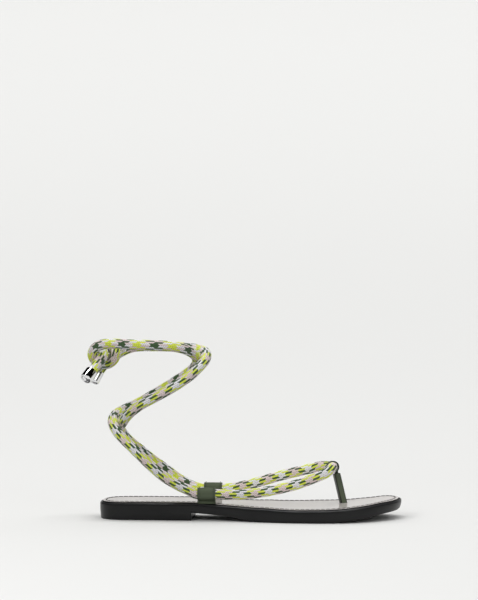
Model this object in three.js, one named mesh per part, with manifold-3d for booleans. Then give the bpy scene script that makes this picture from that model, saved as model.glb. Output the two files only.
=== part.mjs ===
// Wrap sandal for the right foot: a flat thong sandal whose upper is one braided rope.
// The rope runs through a loop on the toe post and one loop on each side of the sole,
// crosses behind and in front of the ankle and ends in a knot with two metal tips.
// Millimetres. X runs from heel to toe, Y to the inner side of the foot, Z up.

import * as THREE from 'three';
import { mergeVertices } from 'three/addons/utils/BufferGeometryUtils.js';
import Module from 'manifold-3d';

const wasm = await Module();
wasm.setup();

// Clearance between two pieces that touch on the real shoe
const GAP = 0.3;

// Sole and heel
const SOLE_LENGTH = 251;
const BALL_WIDTH = 89;
const HEEL_WIDTH = 51;
const SOLE_THICKNESS = 9;
const HEEL_LIFT = 6.4;
const HEEL_LENGTH = 78;
const BREAST_DRAFT = 0.3;
const TOE_SPRING = 7;
const FOOTBED_DISH = 0.9;
const SHOULDER = 2.2;
const BOTTOM_EDGE = 0.8;
const TOE_EDGE = 3;
const WALL_CROWN = 0.35;
const HEEL_ROUND = 26;
const TOE_TIP_SIDE = 16;
const TOE_ROUND_INNER = 20;
const TOE_ROUND_OUTER = 48;

// Insole: a board and its leather cover
const INSOLE_INSET = 2.4;
const BOARD_THICKNESS = 0.7;
const COVER_THICKNESS = 0.6;

// Rope and its two metal tips
const ROPE_RADIUS = 4.3;
const ROPE_SIDES = 10;
const ROPE_END_SIDES = 8;
const ROPE_STEP = 5.4;
const TIP_LENGTH = 10;
const TIP_WALL = 0.5;
const TIP_BORE_DEPTH = 6.6;
const TIP_RECESS = 1.2;
const TIP_RIM = 1.1;
const TIP_SEGMENTS = 28;

// Side loops, each a strip of leather folded over the rope
const LOOP_LEATHER = 1.4;
const LOOP_WIDTH = 15;
const LOOP_BORE_CLEARANCE = 0.4;
const LOOP_ROPE_HEIGHT = 22.3;
const OUTER_LOOP_FROM_HEEL = 91;
const INNER_LOOP_FROM_HEEL = 93;
const LOOP_STRAIGHT = 8;

// Toe post, and the loop whose tab is set into it
const POST_FROM_HEEL = 202.5;
const POST_SIDE = 17;
const POST_RISE = 25.4;
const POST_THICKNESS = 5.3;
const POST_WIDTH = 7.5;
const POST_CORNER = 1.4;
const POST_LEAN = THREE.MathUtils.degToRad(13.3);
const POST_TURN = THREE.MathUtils.degToRad(20);
const TOE_LOOP_LEATHER = 1.1;
const TOE_LOOP_WIDTH = 6.6;
const TOE_LOOP_CLEARANCE = 0.3;
const TOE_LOOP_BACK = 2;
const TOE_LOOP_RISE = 6.1;
const TOE_TAB_DEPTH = 5.4;
const TOE_LOOP_STRAIGHT = 4.5;

// Ankle wrap, measured on the rope's centre line
const WRAP_FROM_HEEL = 50;
const WRAP_DEPTH = 78;
const WRAP_WIDTH = 62.4;
const WRAP_TOP = 147.2;
const FRONT_BOW = 9.5;

// Facets along and across the sole
const SECTIONS = 44;
const STRIPS = 4;

// Half widths along the sole: 0 is the heel's half width, 1 the ball's
const OUTLINE = [
  { along: 0.00, inner: 0.00, outer: 0.00 },
  { along: 0.16, inner: 0.00, outer: 0.00 },
  { along: 0.35, inner: -0.10, outer: 0.10 },
  { along: 0.45, inner: 0.03, outer: 0.33 },
  { along: 0.55, inner: 0.42, outer: 0.60 },
  { along: 0.65, inner: 0.84, outer: 0.82 },
  { along: 0.72, inner: 1.00, outer: 0.86 },
  { along: 0.80, inner: 1.03, outer: 0.76 },
  { along: 0.88, inner: 0.98, outer: 0.55 },
  { along: 1.00, inner: 0.80, outer: 0.10 },
];

// Profile of the sole: where it is, as shares of the heel's length and of the rest,
// then shares of the heel lift, toe spring, thickness and footbed dish
const PROFILE = [
  { heel: 0.00, fore: 0.000, lift: 1.000, spring: 0.00, thick: 0.810, dish: 0.0 },
  { heel: 0.53, fore: 0.000, lift: 1.000, spring: 0.00, thick: 0.856, dish: 1.0 },
  { heel: 1.01, fore: 0.000, lift: 1.000, spring: 0.00, thick: 0.867, dish: 0.9 },
  { heel: 1.00, fore: 0.080, lift: 0.875, spring: 0.00, thick: 0.867, dish: 0.8 },
  { heel: 1.00, fore: 0.165, lift: 0.672, spring: 0.00, thick: 0.911, dish: 0.7 },
  { heel: 1.00, fore: 0.240, lift: 0.375, spring: 0.00, thick: 1.033, dish: 0.5 },
  { heel: 1.00, fore: 0.307, lift: 0.094, spring: 0.00, thick: 1.120, dish: 0.4 },
  { heel: 1.00, fore: 0.352, lift: 0.000, spring: 0.00, thick: 1.140, dish: 0.4 },
  { heel: 1.00, fore: 0.420, lift: 0.000, spring: 0.00, thick: 1.055, dish: 0.4 },
  { heel: 1.00, fore: 0.520, lift: 0.000, spring: 0.00, thick: 1.000, dish: 0.4 },
  { heel: 1.00, fore: 0.625, lift: 0.000, spring: 0.00, thick: 1.030, dish: 0.4 },
  { heel: 1.00, fore: 0.727, lift: 0.000, spring: 0.143, thick: 1.000, dish: 0.4 },
  { heel: 1.00, fore: 0.790, lift: 0.000, spring: 0.33, thick: 0.990, dish: 0.4 },
  { heel: 1.00, fore: 0.841, lift: 0.000, spring: 0.47, thick: 1.000, dish: 0.3 },
  { heel: 1.00, fore: 0.881, lift: 0.000, spring: 0.60, thick: 1.010, dish: 0.2 },
  { heel: 1.00, fore: 0.915, lift: 0.000, spring: 0.77, thick: 0.967, dish: 0.1 },
  { heel: 1.00, fore: 1.000, lift: 0.000, spring: 1.00, thick: 0.890, dish: 0.0 },
];

// Front runs of the rope, as shares of the way from the toe loop to a side loop,
// with the sideways bow as a share of FRONT_BOW
const OUTER_FRONT = [
  { along: -0.023, across: 0.193, up: -0.040, bow: 0 },
  { along: -0.019, across: 0.293, up: 0.010, bow: 0 },
  { along: 0.004, across: 0.378, up: 0.076, bow: 0 },
  { along: 0.047, across: 0.424, up: 0.177, bow: 0 },
  { along: 0.100, across: 0.434, up: 0.293, bow: 0 },
  { along: 0.163, across: 0.424, up: 0.424, bow: 0 },
  { along: 0.301, across: 0.419, up: 0.677, bow: 0 },
  { along: 0.460, across: 0.509, up: 0.859, bow: 0 },
  { along: 0.619, across: 0.654, up: 0.985, bow: 0 },
  { along: 0.778, across: 0.815, up: 1.040, bow: 0 },
  { along: 0.905, across: 0.932, up: 1.030, bow: 0 },
];
const INNER_FRONT = [
  { along: 0.077, across: 0.07, up: 0.000, bow: 0.87 },
  { along: 0.152, across: 0.15, up: 0.060, bow: 1.00 },
  { along: 0.281, across: 0.28, up: 0.205, bow: 0.93 },
  { along: 0.474, across: 0.47, up: 0.435, bow: 0.76 },
  { along: 0.689, across: 0.69, up: 0.725, bow: 0.52 },
  { along: 0.871, across: 0.87, up: 0.935, bow: 0.24 },
];

// The two strands round the ankle: shares of half the wrap's depth and width, measured
// from its centre, and of the height from the side loops to its top
const OUTER_WRAP = [
  { along: 0.679, across: -0.790, up: 0.024 },
  { along: 0.410, across: -0.878, up: 0.066 },
  { along: 0.141, across: -0.949, up: 0.119 },
  { along: -0.126, across: -0.990, up: 0.191 },
  { along: -0.372, across: -0.965, up: 0.264 },
  { along: -0.636, across: -0.830, up: 0.339 },
  { along: -0.841, across: -0.625, up: 0.395 },
  { along: -0.964, across: -0.369, up: 0.440 },
  { along: -1.010, across: -0.064, up: 0.472 },
  { along: -0.995, across: 0.288, up: 0.496 },
  { along: -0.913, across: 0.619, up: 0.514 },
  { along: -0.759, across: 0.843, up: 0.535 },
  { along: -0.536, across: 0.968, up: 0.565 },
  { along: -0.251, across: 1.000, up: 0.615 },
  { along: 0.046, across: 0.962, up: 0.671 },
  { along: 0.344, across: 0.865, up: 0.731 },
  { along: 0.577, across: 0.689, up: 0.784 },
  { along: 0.733, across: 0.433, up: 0.833 },
  { along: 0.790, across: 0.128, up: 0.875 },
  { along: 0.779, across: -0.144, up: 0.906 },
  { along: 0.718, across: -0.417, up: 0.938 },
  { along: 0.564, across: -0.699, up: 0.970 },
  { along: 0.323, across: -0.888, up: 0.990 },
  { along: 0.026, across: -0.965, up: 0.999 },
  { along: -0.295, across: -0.939, up: 1.002 },
  { along: -0.590, across: -0.795, up: 1.000 },
];
const INNER_WRAP = [
  { along: 0.762, across: 0.660, up: 0.007 },
  { along: 0.564, across: 0.760, up: 0.025 },
  { along: 0.323, across: 0.885, up: 0.065 },
  { along: 0.046, across: 0.978, up: 0.124 },
  { along: -0.231, across: 0.997, up: 0.185 },
  { along: -0.500, across: 0.946, up: 0.254 },
  { along: -0.749, across: 0.776, up: 0.326 },
  { along: -0.856, across: 0.561, up: 0.377 },
  { along: -0.880, across: 0.304, up: 0.411 },
  { along: -0.843, across: 0.048, up: 0.441 },
  { along: -0.778, across: -0.192, up: 0.469 },
  { along: -0.697, across: -0.455, up: 0.504 },
  { along: -0.569, across: -0.705, up: 0.545 },
  { along: -0.372, across: -0.894, up: 0.594 },
  { along: -0.077, across: -0.994, up: 0.646 },
  { along: 0.228, across: -0.994, up: 0.698 },
  { along: 0.515, across: -0.897, up: 0.753 },
  { along: 0.718, across: -0.731, up: 0.798 },
  { along: 0.879, across: -0.506, up: 0.846 },
  { along: 0.972, across: -0.240, up: 0.881 },
  { along: 0.992, across: 0.032, up: 0.906 },
  { along: 0.956, across: 0.304, up: 0.924 },
  { along: 0.833, across: 0.571, up: 0.934 },
  { along: 0.641, across: 0.769, up: 0.941 },
  { along: 0.359, across: 0.917, up: 0.946 },
  { along: 0.051, across: 0.971, up: 0.949 },
  { along: -0.231, across: 0.936, up: 0.950 },
];

// Rope beyond the wrap, measured from the wrap's back at its top: the outer strand
// winds once round both and hangs down, the inner strand hangs out of that coil
const OUTER_END = [
  [6.5, -19.5, 0],
  [-2.5, -14.2, -0.4],
  [-10.5, -9.6, -2.2],
  [-15.6, -5.6, -6],
  [-17.4, -1.8, -11.2],
  [-15.4, 2.2, -16.2],
  [-10.4, 4.6, -19.1],
  [-4.4, 4.9, -18.7],
  [-0.1, 4.6, -15.2],
  [1.3, 6.1, -10.8],
  [1.9, 9.4, -6.6],
  [0.3, 13.6, -4.2],
  [-3.8, 15.7, -3.8],
  [-8, 14.2, -5.4],
  [-9.8, 10.3, -7.4],
  [-9.3, 5.6, -9.3],
  [-8.6, 1, -10.6],
  [-8.8, -3.6, -12],
  [-9.8, -9, -14.4],
  [-11.8, -14.4, -17],
  [-14, -19.4, -19.8],
  [-17.2, -25, -24],
  [-19, -28, -26.6],
];
const INNER_END = [
  [17, 24.5, -6.2],
  [10.5, 22.2, -7.7],
  [4.1, 20, -10.7],
  [-1.6, 18.2, -14.3],
  [-6.1, 16.8, -17.8],
  [-9.8, 15, -21.4],
  [-13.4, 12, -26.3],
  [-16.3, 9, -31.5],
];

// Monotone cubic through the rows of a table: flat stretches stay exactly flat
function tableCurve(rows, at, column) {
  const x = rows.map(at);
  const y = rows.map((row) => row[column]);
  const rise = x.slice(1).map((end, i) => (y[i + 1] - y[i]) / (end - x[i]));
  const slope = x.map((_, i) => {
    const before = rise[Math.max(i - 1, 0)];
    const after = rise[Math.min(i, rise.length - 1)];
    return before * after > 0 ? (2 * before * after) / (before + after) : 0;
  });
  return (value) => {
    let i = 0;
    while (i < x.length - 2 && value > x[i + 1]) i += 1;
    const width = x[i + 1] - x[i];
    const t = THREE.MathUtils.clamp((value - x[i]) / width, 0, 1);
    const rising = (t * t * (3 - 2 * t)) * (y[i + 1] - y[i]);
    const bend = t * (1 - t) * ((1 - t) * slope[i] - t * slope[i + 1]) * width;
    return y[i] + rising + bend;
  };
}

const outlineAt = (row) => row.along * SOLE_LENGTH;
const profileAt = (row) => row.heel * HEEL_LENGTH + row.fore * (SOLE_LENGTH - HEEL_LENGTH);
const innerShare = tableCurve(OUTLINE, outlineAt, 'inner');
const outerShare = tableCurve(OUTLINE, outlineAt, 'outer');
const liftShare = tableCurve(PROFILE, profileAt, 'lift');
const springShare = tableCurve(PROFILE, profileAt, 'spring');
const thickShare = tableCurve(PROFILE, profileAt, 'thick');
const dishShare = tableCurve(PROFILE, profileAt, 'dish');

// Height of the sole's underside and of its upper edge
const underside = (x) => liftShare(x) * HEEL_LIFT + springShare(x) * TOE_SPRING;
const topEdge = (x) => underside(x) + thickShare(x) * SOLE_THICKNESS;

// Height of the footbed above the floor, lifted by what lies on the sole.
// across is 1 at the inner edge, -1 at the outer edge and 0 between them.
const footbed = (lifted) => (x, across) => {
  const dish = FOOTBED_DISH * dishShare(x) * (1 - across * across);
  return topEdge(x) - dish + lifted;
};
const BOARD_BOTTOM = GAP;
const BOARD_TOP = BOARD_BOTTOM + BOARD_THICKNESS;
const COVER_BOTTOM = BOARD_TOP + GAP;
const COVER_TOP = COVER_BOTTOM + COVER_THICKNESS;

// Rounding of an end of the outline, from 0 at the end to 1 at full width
function endRound(distance, reach, power) {
  const left = 1 - THREE.MathUtils.clamp(distance / reach, 0, 1);
  return (1 - left ** power) ** (1 / power);
}

// Distance of the outline from the heel's centre line, positive on the inner side
function outline(x, side) {
  const inner = side > 0;
  const share = inner ? innerShare(x) : outerShare(x);
  const half = (HEEL_WIDTH + (BALL_WIDTH - HEEL_WIDTH) * share) / 2;
  const heelEnd = endRound(x, HEEL_ROUND, 2.6);
  const toeReach = inner ? TOE_ROUND_INNER : TOE_ROUND_OUTER;
  const toeEnd = endRound(SOLE_LENGTH - x, toeReach, inner ? 2.6 : 2.2);
  return THREE.MathUtils.lerp(TOE_TIP_SIDE, side * half * heelEnd, toeEnd);
}

// Distances from the heel where the sole is sectioned: closest together at its two ends,
// with one section on each side of the heel's breast
function soleStations() {
  const along = (i) => (SOLE_LENGTH * (1 - Math.cos((Math.PI * i) / SECTIONS))) / 2;
  const spaced = Array.from({ length: SECTIONS + 1 }, (_, i) => along(i));
  const breast = [HEEL_LENGTH, HEEL_LENGTH + BREAST_DRAFT];
  const clear = spaced.filter((x) => Math.abs(x - HEEL_LENGTH) > 2 * BREAST_DRAFT);
  return [...clear, ...breast].sort((a, b) => a - b);
}
const STATIONS = soleStations();

// Points of the outline: along the inner side to the toe, back along the outer side
function outlinePoints() {
  const inner = STATIONS.slice(0, -1).map((x) => new THREE.Vector2(x, outline(x, 1)));
  const outer = STATIONS.slice(1).map((x) => new THREE.Vector2(x, outline(x, -1)));
  return [...inner, ...outer.reverse()];
}
const OUTLINE_POINTS = outlinePoints();

// The outline moved inwards, by a distance that may change along the sole
function insetRing(inset) {
  const count = OUTLINE_POINTS.length;
  return OUTLINE_POINTS.map((point, i) => {
    const before = OUTLINE_POINTS[(i + count - 1) % count];
    const after = OUTLINE_POINTS[(i + 1) % count];
    const tangent = after.clone().sub(before).normalize();
    const outward = new THREE.Vector2(-tangent.y, tangent.x);
    return point.clone().addScaledVector(outward, -inset(point.x));
  });
}

// A layer of the sole: a stack of rings, closed below and above by strips across the foot
function layerGeometry(levels, lowerFace, upperFace) {
  const positions = [];
  const triangles = [];
  const addPoint = (x, y, z) => positions.push(x, y, z) / 3 - 1;
  const rings = levels.map(({ inset, height }) =>
    insetRing(inset).map((point) => addPoint(point.x, point.y, height(point.x))));
  const around = OUTLINE_POINTS.length;
  for (let level = 1; level < rings.length; level += 1) {
    for (let i = 0; i < around; i += 1) {
      const j = (i + 1) % around;
      const [low, high] = [rings[level - 1], rings[level]];
      triangles.push(low[i], high[i], high[j], low[i], high[j], low[j]);
    }
  }
  const pointAt = (index) => new THREE.Vector3().fromArray(positions, index * 3);
  const cap = (ring, face, upward) => {
    const rows = [];
    for (let i = 0; i < STATIONS.length; i += 1) {
      const innerEnd = ring[i];
      const outerEnd = ring[(around - i) % around];
      const row = [innerEnd];
      for (let k = 1; k < STRIPS; k += 1) {
        if (innerEnd === outerEnd) continue;
        const p = pointAt(innerEnd).lerp(pointAt(outerEnd), k / STRIPS);
        row.push(addPoint(p.x, p.y, face(p.x, 1 - (2 * k) / STRIPS)));
      }
      row.push(outerEnd);
      rows.push(row.length === 2 ? Array(STRIPS + 1).fill(innerEnd) : row);
    }
    for (let i = 0; i < STATIONS.length - 1; i += 1) {
      for (let k = 0; k < STRIPS; k += 1) {
        const [a, b, c, d] = [rows[i][k], rows[i][k + 1], rows[i + 1][k + 1], rows[i + 1][k]];
        const pair = upward ? [[a, b, c], [a, c, d]] : [[a, c, b], [a, d, c]];
        pair.filter(([p, q, r]) => p !== q && q !== r && r !== p)
          .forEach((triangle) => triangles.push(...triangle));
      }
    }
  };
  cap(rings[0], lowerFace, false);
  cap(rings[rings.length - 1], upperFace, true);
  const geometry = new THREE.BufferGeometry();
  geometry.setAttribute('position', new THREE.Float32BufferAttribute(positions, 3));
  geometry.setIndex(triangles);
  return geometry;
}

// Closed geometry to a solid that can be cut and joined, and back
function toSolid(geometry) {
  const bare = geometry.clone();
  bare.deleteAttribute('normal');
  bare.deleteAttribute('uv');
  const merged = mergeVertices(bare, 1e-4);
  return new wasm.Manifold(new wasm.Mesh({
    numProp: 3,
    vertProperties: new Float32Array(merged.attributes.position.array),
    triVerts: new Uint32Array(merged.index.array),
  }));
}
function toGeometry(solid) {
  const mesh = solid.getMesh();
  const geometry = new THREE.BufferGeometry();
  geometry.setAttribute('position', new THREE.BufferAttribute(mesh.vertProperties, 3));
  geometry.setIndex(new THREE.BufferAttribute(mesh.triVerts, 1));
  return geometry;
}

// A rounded rectangle, centred, for sections and cutters
function roundedRectangle(width, depth, corner) {
  const [w, d, r] = [width / 2, depth / 2, corner];
  const shape = new THREE.Shape();
  shape.moveTo(w, -d + r);
  shape.absarc(w - r, d - r, r, 0, Math.PI / 2);
  shape.absarc(-w + r, d - r, r, Math.PI / 2, Math.PI);
  shape.absarc(-w + r, -d + r, r, Math.PI, 1.5 * Math.PI);
  shape.absarc(w - r, -d + r, r, 1.5 * Math.PI, 2 * Math.PI);
  return shape;
}

// A box given by its lowest and highest corners
function boxBetween(low, high) {
  const size = high.clone().sub(low);
  const middle = high.clone().add(low).multiplyScalar(0.5);
  return new THREE.BoxGeometry(size.x, size.y, size.z).translate(middle.x, middle.y, middle.z);
}

// Extrude a flat section from one distance along its normal to another
function extrude(shape, from, to, segments) {
  const options = { depth: to - from, bevelEnabled: false, curveSegments: segments };
  return new THREE.ExtrudeGeometry(shape, options).translate(0, 0, from);
}

// Sole: heel block and underside, wall with a slight crown, rounded shoulder, footbed.
// The heel is moulded in one with the sole and ends at an upright breast.
const bottom = (x) => (x > HEEL_LENGTH ? underside(x) : 0);
const toeShare = (x) => THREE.MathUtils.smoothstep(x, 0.88 * SOLE_LENGTH, SOLE_LENGTH);
const edgeRound = (x) => THREE.MathUtils.lerp(BOTTOM_EDGE, TOE_EDGE, toeShare(x));
const DIAGONAL = Math.SQRT1_2;

function outsoleGeometry() {
  const levels = [
    { inset: (x) => edgeRound(x) + WALL_CROWN, height: bottom },
    {
      inset: (x) => edgeRound(x) * (1 - DIAGONAL) + WALL_CROWN,
      height: (x) => bottom(x) + edgeRound(x) * (1 - DIAGONAL),
    },
    { inset: () => WALL_CROWN, height: (x) => bottom(x) + edgeRound(x) },
    { inset: () => 0, height: (x) => (bottom(x) + topEdge(x)) / 2 },
    { inset: () => 0, height: (x) => topEdge(x) - SHOULDER },
    {
      inset: () => SHOULDER * (1 - DIAGONAL),
      height: (x) => topEdge(x) - SHOULDER * (1 - DIAGONAL),
    },
    { inset: () => SHOULDER, height: topEdge },
  ];
  return layerGeometry(levels, (x) => bottom(x), footbed(0));
}

// Side loops: where each stands, and its strip folded over the rope
const LOOP_BORE = ROPE_RADIUS + LOOP_BORE_CLEARANCE;
const LOOP_TAB = 2 * LOOP_LEATHER;

function sideLoopPlace(fromHeel, side) {
  const edge = outline(fromHeel, side) - side * (INSOLE_INSET + LOOP_TAB / 2);
  return new THREE.Vector3(fromHeel, edge, LOOP_ROPE_HEIGHT);
}
const OUTER_LOOP = sideLoopPlace(OUTER_LOOP_FROM_HEEL, -1);
const INNER_LOOP = sideLoopPlace(INNER_LOOP_FROM_HEEL, 1);

// A strip folded into a ring round the rope, its two ends together as a tab that leaves
// the ring at `tabSide` from the ring's centre and reaches `tabDepth` below it
function foldedStrip(bore, leather, tabWidth, tabSide, tabDepth) {
  const outside = bore + leather;
  const right = tabSide + tabWidth / 2;
  const left = tabSide - tabWidth / 2;
  const dip = (offset) => -Math.sqrt(outside * outside - offset * offset);
  const shape = new THREE.Shape();
  shape.moveTo(left, -tabDepth);
  shape.lineTo(right, -tabDepth);
  shape.lineTo(right, dip(right));
  shape.absarc(0, 0, outside, Math.atan2(dip(right), right), Math.atan2(dip(left), left));
  const hole = new THREE.Path();
  hole.absarc(0, 0, bore, 0, 2 * Math.PI, true);
  shape.holes.push(hole);
  return shape;
}

function sideLoopGeometry(place) {
  const floor = Math.max(topEdge(place.x - LOOP_WIDTH / 2), topEdge(place.x + LOOP_WIDTH / 2));
  const tabDepth = place.z - floor - GAP;
  const strip = foldedStrip(LOOP_BORE, LOOP_LEATHER, LOOP_TAB, 0, tabDepth);
  const section = extrude(strip, -LOOP_WIDTH / 2, LOOP_WIDTH / 2, 28);
  const alongShoe = new THREE.Matrix4().makeBasis(
    new THREE.Vector3(0, 1, 0),
    new THREE.Vector3(0, 0, 1),
    new THREE.Vector3(1, 0, 0),
  );
  return section.applyMatrix4(alongShoe).translate(place.x, place.y, place.z);
}

// The notch that a side loop's tab takes out of the insole's edge
function tabNotch(place) {
  const side = Math.sign(place.y);
  const reach = LOOP_WIDTH / 2 + GAP;
  const inside = place.y - side * (LOOP_TAB / 2 + GAP);
  const beyond = side * BALL_WIDTH;
  return boxBetween(
    new THREE.Vector3(place.x - reach, Math.min(inside, beyond), 0),
    new THREE.Vector3(place.x + reach, Math.max(inside, beyond), place.z),
  );
}

// Toe post: its frame leans back and is turned a little about its own axis
const POST_AXIS = new THREE.Vector3(-Math.sin(POST_LEAN), 0, Math.cos(POST_LEAN));
const POST_THICK_AXIS = new THREE.Vector3(Math.cos(POST_LEAN), 0, Math.sin(POST_LEAN))
  .applyAxisAngle(POST_AXIS, POST_TURN);
const POST_WIDE_AXIS = POST_AXIS.clone().cross(POST_THICK_AXIS);
const POST_FOOT = new THREE.Vector3(
  POST_FROM_HEEL,
  POST_SIDE,
  footbed(COVER_TOP)(POST_FROM_HEEL, POST_SIDE / outline(POST_FROM_HEEL, 1)),
);
const POST_HEAD = POST_FOOT.clone().addScaledVector(POST_AXIS, POST_RISE);

// The post's own directions at one of its ends: thickness, width, axis
function postFrame(origin) {
  return new THREE.Matrix4()
    .makeBasis(POST_THICK_AXIS, POST_WIDE_AXIS, POST_AXIS)
    .setPosition(origin);
}

// How far the post goes below the footbed: to the sole, less what its lean takes
const POST_BURIED = (COVER_TOP - GAP) * Math.cos(POST_LEAN) - POST_THICKNESS * Math.sin(POST_LEAN) / 2
  - GAP;
const SOCKET_DEPTH = TOE_TAB_DEPTH + GAP;
const TOE_TAB = 2 * TOE_LOOP_LEATHER;
const TOE_TAB_WIDTH = TOE_LOOP_WIDTH - 2 * TOE_LOOP_CLEARANCE;

function toePostGeometry() {
  const section = roundedRectangle(POST_THICKNESS, POST_WIDTH, POST_CORNER);
  const body = extrude(section, -POST_BURIED, POST_RISE, 5).applyMatrix4(postFrame(POST_FOOT));
  const socket = new THREE.BoxGeometry(TOE_TAB + 2 * GAP, TOE_TAB_WIDTH + 2 * GAP, 2 * SOCKET_DEPTH)
    .applyMatrix4(postFrame(POST_HEAD));
  return toGeometry(toSolid(body).subtract(toSolid(socket)));
}

// The hole that the post takes through the insole
function postHole() {
  const section = roundedRectangle(
    POST_THICKNESS + 2 * GAP,
    POST_WIDTH + 2 * GAP,
    POST_CORNER + GAP,
  );
  return extrude(section, -2 * COVER_TOP, POST_RISE, 5).applyMatrix4(postFrame(POST_FOOT));
}

// Toe loop: the rope's ring, at the post's head and a little behind it
const TOE_BORE = ROPE_RADIUS + TOE_LOOP_CLEARANCE;
const RING_CENTRE = POST_HEAD.clone()
  .addScaledVector(POST_THICK_AXIS, -TOE_LOOP_BACK)
  .addScaledVector(POST_AXIS, TOE_LOOP_RISE);

function toeLoopGeometry() {
  const tabDepth = TOE_LOOP_RISE + TOE_TAB_DEPTH;
  const strip = foldedStrip(TOE_BORE, TOE_LOOP_LEATHER, TOE_TAB, TOE_LOOP_BACK, tabDepth);
  const ring = toSolid(extrude(strip, -TOE_LOOP_WIDTH / 2, TOE_LOOP_WIDTH / 2, 28));
  const reach = TOE_LOOP_WIDTH / 2;
  const trims = [-1, 1].map((side) => {
    const inside = side * TOE_TAB_WIDTH / 2;
    const outside = side * (reach + GAP);
    const far = tabDepth + reach;
    return toSolid(boxBetween(
      new THREE.Vector3(-far, -far, Math.min(inside, outside)),
      new THREE.Vector3(far, GAP - TOE_LOOP_RISE, Math.max(inside, outside)),
    ));
  });
  const upright = new THREE.Matrix4().makeBasis(
    POST_THICK_AXIS,
    POST_AXIS,
    POST_WIDE_AXIS.clone().negate(),
  ).setPosition(RING_CENTRE);
  return toGeometry(ring.subtract(trims[0]).subtract(trims[1])).applyMatrix4(upright);
}

// Insole board and cover, cut for the post and for the side loops
function insoleGeometry(bottom, top) {
  const inset = () => INSOLE_INSET;
  const levels = [
    { inset, height: (x) => topEdge(x) + bottom },
    { inset, height: (x) => topEdge(x) + top },
  ];
  const sheet = toSolid(layerGeometry(levels, footbed(bottom), footbed(top)));
  const cuts = [postHole(), tabNotch(OUTER_LOOP), tabNotch(INNER_LOOP)];
  return toGeometry(cuts.reduce((rest, cut) => rest.subtract(toSolid(cut)), sheet));
}

// Rope: the way of each strand from the toe loop to its tip
function strandPoints(loop, front, wrap, end) {
  const side = Math.sign(loop.y);
  const entry = loop.clone().add(new THREE.Vector3(LOOP_STRAIGHT, 0, 0));
  const exit = loop.clone().sub(new THREE.Vector3(LOOP_STRAIGHT, 0, 0));
  const way = entry.clone().sub(RING_CENTRE);
  const leaving = POST_WIDE_AXIS.clone().multiplyScalar(side * TOE_LOOP_STRAIGHT);
  const frontPoints = front.map(({ along, across, up, bow }) => new THREE.Vector3(
    RING_CENTRE.x + along * way.x,
    RING_CENTRE.y + across * way.y + side * bow * FRONT_BOW,
    RING_CENTRE.z + up * way.z,
  ));
  const wrapPoints = wrap.map(({ along, across, up }) => new THREE.Vector3(
    WRAP_FROM_HEEL + (along * WRAP_DEPTH) / 2,
    (across * WRAP_WIDTH) / 2,
    THREE.MathUtils.lerp(LOOP_ROPE_HEIGHT, WRAP_TOP, up),
  ));
  const back = new THREE.Vector3(WRAP_FROM_HEEL - WRAP_DEPTH / 2, 0, WRAP_TOP);
  const endPoints = end.map((offset) => new THREE.Vector3(...offset).add(back));
  const start = [RING_CENTRE.clone().sub(leaving.clone().multiplyScalar(0.1)),
    RING_CENTRE.clone().add(leaving)];
  return {
    points: [...start, ...frontPoints, entry, loop, exit, ...wrapPoints, ...endPoints],
    lastOfWrap: wrapPoints[wrapPoints.length - 1],
  };
}

// Part of a curve, from one distance along it to another
class Stretch extends THREE.Curve {
  constructor(whole, from, to) {
    super();
    this.whole = whole;
    this.from = from;
    this.to = to;
  }

  getPoint(t, target = new THREE.Vector3()) {
    const distance = THREE.MathUtils.lerp(this.from, this.to, t);
    return this.whole.getPointAt(distance / this.whole.getLength(), target);
  }
}

function ropeGeometry(path, sides) {
  const section = new THREE.Shape();
  for (let i = 0; i < sides; i += 1) {
    const angle = (2 * Math.PI * i) / sides;
    const [x, y] = [ROPE_RADIUS * Math.cos(angle), ROPE_RADIUS * Math.sin(angle)];
    if (i === 0) section.moveTo(x, y);
    else section.lineTo(x, y);
  }
  const steps = Math.round(path.getLength() / ROPE_STEP);
  return new THREE.ExtrudeGeometry(section, { steps, extrudePath: path, bevelEnabled: false });
}

// A strand's curve, and the distance along it where the wrap ends
function strand(loop, front, wrap, end) {
  const { points, lastOfWrap } = strandPoints(loop, front, wrap, end);
  const curve = new THREE.CatmullRomCurve3(points, false, 'centripetal');
  curve.arcLengthDivisions = 3000;
  const lengths = curve.getLengths();
  const share = points.indexOf(lastOfWrap) / (points.length - 1);
  const wrapLength = lengths[Math.round(share * curve.arcLengthDivisions)];
  return { curve, wrapLength, length: curve.getLength() };
}
const OUTER_STRAND = strand(OUTER_LOOP, OUTER_FRONT, OUTER_WRAP, OUTER_END);
const INNER_STRAND = strand(INNER_LOOP, INNER_FRONT, INNER_WRAP, INNER_END);

function ropeWrapGeometry() {
  const halves = [OUTER_STRAND, INNER_STRAND].map(({ curve, wrapLength }) =>
    toSolid(ropeGeometry(new Stretch(curve, 0, wrapLength), ROPE_SIDES)));
  return toGeometry(halves[0].add(halves[1]));
}

function ropeEndGeometry({ curve, wrapLength, length }) {
  return ropeGeometry(new Stretch(curve, wrapLength + GAP, length), ROPE_END_SIDES);
}

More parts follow.
